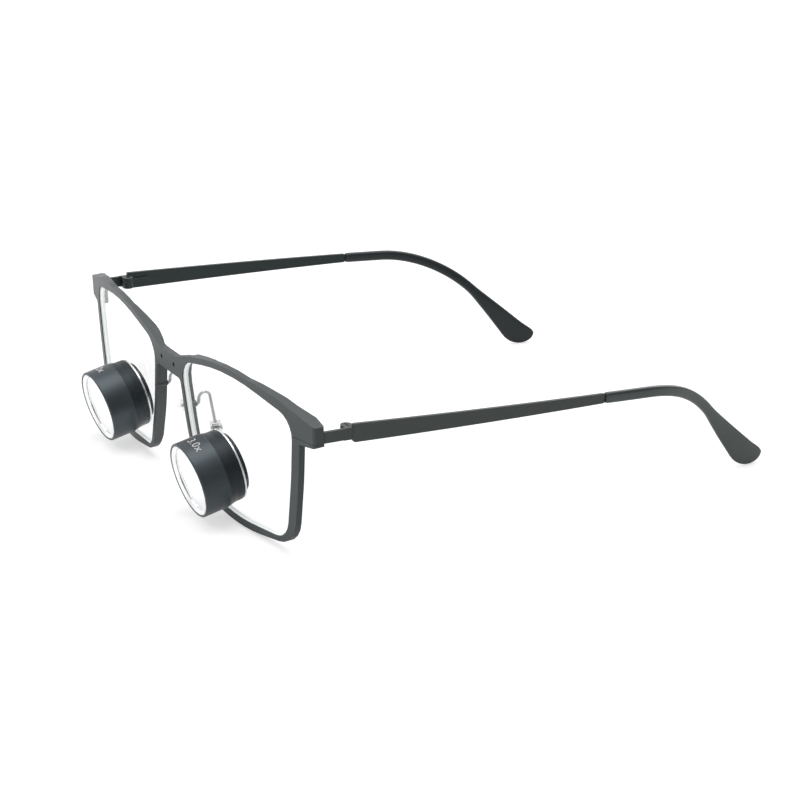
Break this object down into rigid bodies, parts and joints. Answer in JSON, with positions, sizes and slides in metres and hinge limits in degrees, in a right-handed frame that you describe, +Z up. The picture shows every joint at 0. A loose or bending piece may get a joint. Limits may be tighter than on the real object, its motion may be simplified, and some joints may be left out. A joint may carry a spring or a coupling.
{
  "type": "surgical loupes",
  "caption": "Through-the-lens surgical loupes: a metal spectacle front with short telescopes set in its lenses, rocking nose pads and folding temples.",
  "frame": {"origin": "under the middle of the loupes' length and width, on the surface they stand on", "axes": "+X to the wearer's left, +Y from the front to the temple tips (the wearer looks along -Y), +Z up; millimetres in the source, metres here"},
  "size_m": [0.1426, 0.1656, 0.0421],
  "materials": {
    "front_metal": "matte gunmetal lacquer",
    "temple_metal": "matte dark grey lacquer",
    "tip_dark": "smooth dark grey acetate",
    "barrel_black": "satin black anodised",
    "ring_silver": "turned, satin",
    "optical_glass": "polished and coated",
    "lens_plastic": "clear polished plastic",
    "screw_steel": "fine turned",
    "wire_steel": "polished wire",
    "pad_core_clear": "clear",
    "pad_clear": "clear silicone"
  },
  "bodies": {
    "front": {"front_frame": "front_metal", "left_carrier_lens": "lens_plastic", "right_carrier_lens": "lens_plastic", "left_rim_screw": "screw_steel", "right_rim_screw": "screw_steel", "left_objective_housing": "barrel_black", "right_objective_housing": "barrel_black", "left_front_ring": "ring_silver", "right_front_ring": "ring_silver", "left_objective_crown": "optical_glass", "right_objective_crown": "optical_glass", "left_objective_flint": "optical_glass", "right_objective_flint": "optical_glass", "left_spacer_tube": "barrel_black", "right_spacer_tube": "barrel_black", "left_seat_ring": "ring_silver", "right_seat_ring": "ring_silver", "left_eyepiece_housing": "barrel_black", "right_eyepiece_housing": "barrel_black", "left_eyepiece_lens": "optical_glass", "right_eyepiece_lens": "optical_glass", "left_eyepiece_ring": "barrel_black", "right_eyepiece_ring": "barrel_black", "left_pad_arm": "wire_steel", "right_pad_arm": "wire_steel", "left_pad_box": "wire_steel", "right_pad_box": "wire_steel", "left_pad_screw": "screw_steel", "right_pad_screw": "screw_steel", "left_hinge_lug": "temple_metal", "right_hinge_lug": "temple_metal", "left_hinge_screw": "screw_steel", "right_hinge_screw": "screw_steel"},
    "left_temple": {"left_hinge_leaf": "temple_metal", "left_temple": "temple_metal", "left_temple_tip": "tip_dark"},
    "right_temple": {"right_hinge_leaf": "temple_metal", "right_temple": "temple_metal", "right_temple_tip": "tip_dark"},
    "left_pad": {"left_pad_core": "pad_core_clear", "left_nose_pad": "pad_clear"},
    "right_pad": {"right_pad_core": "pad_core_clear", "right_nose_pad": "pad_clear"}
  },
  "joints": [
    {"name": "left_temple_fold", "type": "hinge", "parent": "front", "child": "left_temple", "pos_m": [0.06715, -0.05541, 0.03436], "axis": [0, 0, 1], "range_deg": [0, 83.5]},
    {"name": "right_temple_fold", "type": "hinge", "parent": "front", "child": "right_temple", "pos_m": [-0.06715, -0.05541, 0.03436], "axis": [0, 0, -1], "range_deg": [0, 89]},
    {"name": "left_pad_rock", "type": "hinge", "parent": "front", "child": "left_pad", "pos_m": [0.00982, -0.06311, 0.01674], "axis": [0.4266, 0.891, 0.1553], "range_deg": [-10, 10]},
    {"name": "right_pad_rock", "type": "hinge", "parent": "front", "child": "right_pad", "pos_m": [-0.00982, -0.06311, 0.01674], "axis": [-0.4266, 0.891, 0.1553], "range_deg": [-10, 10]}
  ]
}
